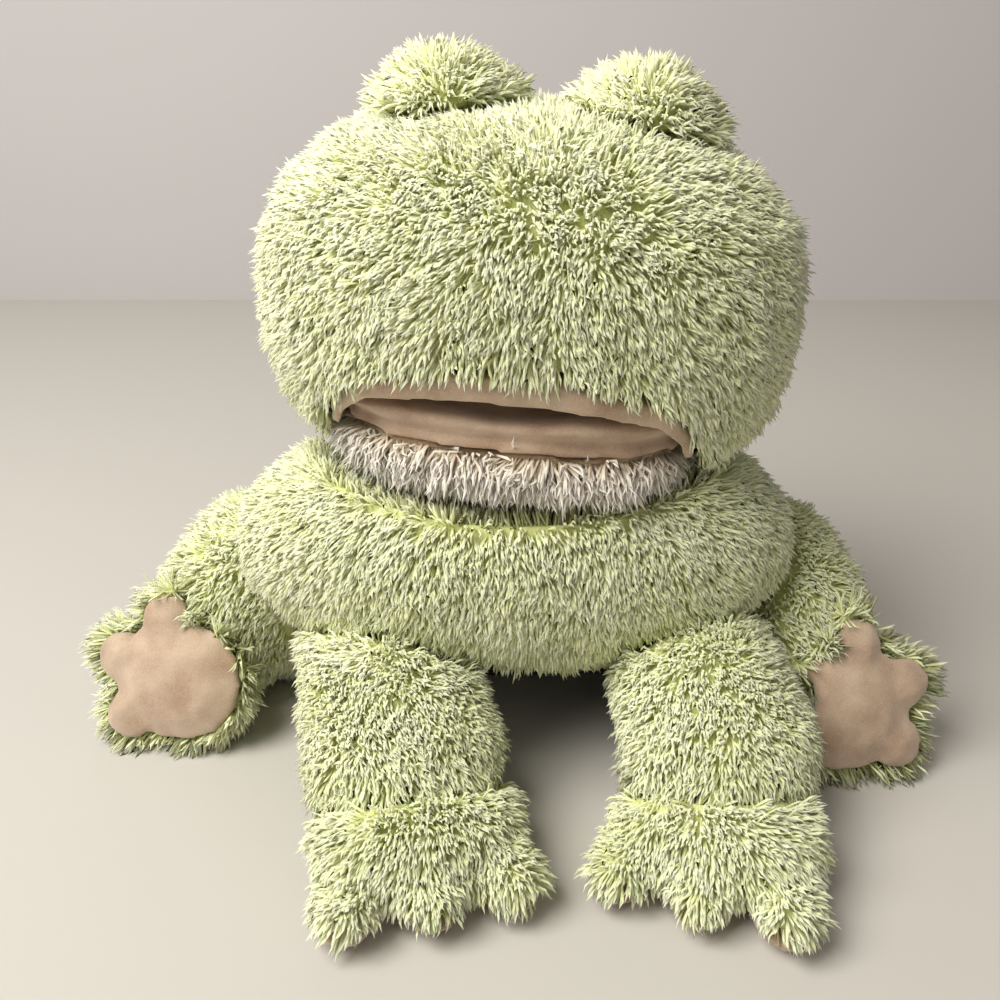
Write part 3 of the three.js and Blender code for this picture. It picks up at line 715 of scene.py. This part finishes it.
def pile_pieces(node, locks, material, slot, body):
    """The locks of one cover, in as many pieces as their number needs, from right to left."""
    order = np.argsort(locks["root"][:, 0], kind="stable")
    number = math.ceil(len(order) / LOCKS_TO_A_PIECE)
    for place, part in enumerate(np.array_split(order, number)):
        name = f"{node}_pile_{place + 1}"
        mesh = lock_mesh(name, {key: value[part] for key, value in locks.items()})
        piece = bpy.data.objects.new(name, mesh)
        bpy.context.scene.collection.objects.link(piece)
        dress(piece, material, slot, body)


# The coats: where each cover's whorl is and how its pile lies

def coat(whorl, spread, flow, **changes):
    """A coat's habits; a cover names only what differs from the long plush of the body. The density is in
    locks to a square metre, and where the wall is out by less than bare_below no lock grows."""
    habits = {
        "whorl": whorl, "spread": spread, "flow": flow, "swirl": 0.5, "ruffle": 0.42, "lean": 1.3,
        "droop": 0.15, "pile": 9.5 * MM, "width": 0.72 * MM, "density": 0.92e6, "bare_below": 0.5,
        "lift": 0.1, "rim": None, "rim_gain": 1.5, "rim_flow": DOWN * 0,
    }
    habits.update(changes)
    return habits


def towards(node, other):
    return unit(centre_of(other) - centre_of(node))


def trunk_coats():
    """The covers of the head, jaw, neck and body: the body of each, the nodes inside it and its coat."""
    bib_inside = ["bib_stuffing", "sleeve_lining"]
    head_inside = ["head_stuffing", "finger_pocket"]
    jaw_inside = ["jaw_stuffing", "thumb_pocket", "lower_palate"]
    neck_inside = ["sleeve_lining", "finger_pocket"]
    chin = spot_in("body_front", 0.5, 1.0, 1.1)
    seat = spot_in("body_back", 0.5, 0.4, 1.0)
    muzzle = spot_in("head_cover", 0.54, 0.3, 0.62)
    lip = spot_in("jaw_cover", 0.5, 0.6, 1.1)
    face = coat(muzzle, 0.7, DOWN * 0.6 + AHEAD * 0.3, rim="upper_palate", rim_gain=1.4, rim_flow=DOWN * 2)
    fringe = coat(
        lip, 0.3, DOWN * 0.3 + AHEAD, pile=17 * MM, droop=0.35, lift=0.9, density=1.3e6, bare_below=-1
    )
    collar = coat(chin, 0.2, DOWN, density=0.3e6)
    bib = coat(chin, 0.6, DOWN * 0.6, bare_below=-1)
    back = coat(seat, 0.6, DOWN * 0.7, density=0.55e6)
    return {
        "head_cover": ("head", head_inside, face),
        "jaw_cover": ("jaw", jaw_inside, fringe),
        "neck_collar": ("neck", neck_inside, collar),
        "body_front": ("torso", bib_inside, bib),
        "body_back": ("torso", bib_inside, back),
    }


def side_coats(side):
    """The covers of one eye bump and of one side's limbs, in the same form."""
    arm, hand, leg, foot = (f"{limb}_{side}" for limb in ("arm", "hand", "leg", "foot"))
    eye_bump, palm, sole = f"eye_bump_{side}", f"palm_{side}", f"sole_{side}"
    bump_inside = [f"eye_bump_stuffing_{side}", f"eye_washer_{side}"]
    crown = spot_in(eye_bump, 0.5, 0.35, 0.55)
    wrist = spot_in(hand, 0.5, 0.9, 1.0)
    bump_coat = coat(crown, 0.9, DOWN * 0.1, lean=0.8, rim="head_cover")
    arm_coat = coat(centre_of(arm), 0.3, towards(arm, hand) * 0.9, rim=hand)
    hand_coat = coat(wrist, 0.9, AHEAD * 0.3 + DOWN * 0.3, rim=palm, rim_gain=1.1, lift=0.5)
    leg_coat = coat(centre_of(leg), 0.4, towards(leg, foot) * 0.7 + DOWN * 0.2, rim=foot, density=0.7e6)
    foot_coat = coat(
        centre_of(leg), 0.7, towards(foot, sole) * 0.6, pile=10.5 * MM, rim=sole, rim_gain=1.2, lift=0.6
    )
    return {
        eye_bump: ("head", bump_inside, bump_coat),
        arm: (arm, [f"arm_stuffing_{side}"], arm_coat),
        hand: (hand, [f"hand_stuffing_{side}"], hand_coat),
        leg: (leg, [f"leg_stuffing_{side}"], leg_coat),
        foot: (foot, [f"foot_stuffing_{side}"], foot_coat),
    }


def make_plush():
    rows = trunk_coats()
    for side in SIDES:
        rows.update(side_coats(side))
    for seed, (node, (body, inside, habits)) in enumerate(rows.items(), start=FIRST_SEED):
        cream = node == "jaw_cover"
        slot = "cream_plush" if cream else "green_plush"
        skin, outer = plush_skin(node, inside)
        dress(skin, cream_backing if cream else green_backing, slot, body, node)
        others = [other for other in rows if other != node]
        buried = [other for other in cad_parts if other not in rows]
        locks = grow(skin, outer, habits, others, buried, seed)
        pile_pieces(node, locks, cream_pile if cream else green_pile, slot, body)


make_plush()


# Lining, hem and fill

def make_linings():
    """The lined sleeve and the two pockets: the body, flat size and area of each, in metres."""
    linings = {
        "sleeve_lining": ("torso", (0.48, 0.13), 0.0498),
        "finger_pocket": ("head", (0.21, 0.10), 0.0175),
        "thumb_pocket": ("jaw", (0.07, 0.018), 0.00089),
    }
    for node, (body, flat, area) in linings.items():
        piece = sewn_copy(node, node + "_cloth")
        dress(piece, lining_cloth, "lining", body, node)


def make_hem():
    hem = softened("hand_hole_hem", "hand_hole_hem_cloth", VELOUR_GRID, HEM_ROUNDS)
    dress(hem, lining_cloth, "lining", "torso", "hand_hole_hem")


def make_stuffing():
    fills = {"bib_stuffing": "torso", "jaw_stuffing": "jaw", "head_stuffing": "head"}
    for side in SIDES:
        fills[f"eye_bump_stuffing_{side}"] = "head"
        for limb in ("arm", "hand", "leg", "foot"):
            fills[f"{limb}_stuffing_{side}"] = f"{limb}_{side}"
    for node, body in fills.items():
        fill = softened(node, node + "_fill", FILL_GRID, FILL_ROUNDS)
        move_points(fill, points_of(fill) - normals_of(fill) * FILL_SINK)
        dress(fill, fibre_fill, "stuffing", body, node)


make_linings()
make_hem()
make_stuffing()


# Eyes and their washers

def make_eyes():
    for side in SIDES:
        for node, material in ((f"eye_{side}", eye_plastic), (f"eye_washer_{side}", washer_plastic)):
            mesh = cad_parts[node].data
            mesh.materials.clear()
            mesh.materials.append(material)


make_eyes()


# Studio: pale floor, soft light and the photograph's view

def plain_plane(name, place, turn, colour):
    bpy.ops.object.select_all(action="DESELECT")
    bpy.ops.mesh.primitive_plane_add(size=ROOM_SIDE, location=place, rotation=turn)
    plane = bpy.context.active_object
    plane.name = name
    material, *_, shader = new_material(name + "_paint")
    shader.inputs["Base Color"].default_value = colour
    shader.inputs["Roughness"].default_value = 0.9
    plane.data.materials.append(material)


def make_room():
    plain_plane("floor", (0, 0, 0), (0, 0, 0), linear(200, 196, 191))
    plain_plane("wall", (0, WALL_BEHIND, 0), (math.pi / 2, 0, 0), linear(206, 202, 204))


def area_light(name, place, aim, size, watts):
    lamp = bpy.data.lights.new(name, "AREA")
    lamp.color = linear(*WARM_WHITE)[:3]
    lamp.size = size
    lamp.energy = watts
    light = bpy.data.objects.new(name, lamp)
    bpy.context.scene.collection.objects.link(light)
    light.location = place
    light.rotation_euler = (Vector(aim) - Vector(place)).to_track_quat("-Z", "Y").to_euler()


def make_light():
    middle = (0, 0, 0.12)
    area_light("key_light", place=(-0.62, -0.42, 1.05), aim=middle, size=0.8, watts=20)
    area_light("fill_light", place=(0.4, -1.0, 0.8), aim=middle, size=1.0, watts=0.7)
    world = bpy.data.worlds.new("studio")
    bpy.context.scene.world = world
    world.use_nodes = True
    background = world.node_tree.nodes["Background"]
    background.inputs["Color"].default_value = linear(243, 238, 227)
    background.inputs["Strength"].default_value = 0.3


def make_camera():
    lens = bpy.data.cameras.new("camera")
    lens.sensor_width = SENSOR_WIDTH
    lens.lens = SENSOR_WIDTH * FOCAL_PIXELS / PICTURE_SIDE
    lens.clip_start = 0.01
    camera = bpy.data.objects.new("camera", lens)
    bpy.context.scene.collection.objects.link(camera)
    camera.location = CAMERA_PLACE
    camera.rotation_euler = (math.pi / 2 - CAMERA_PITCH, 0, 0)
    bpy.context.scene.camera = camera


make_room()
make_light()
make_camera()
bpy.context.scene.view_settings.view_transform = "Standard"

bpy.context.view_layer.update()
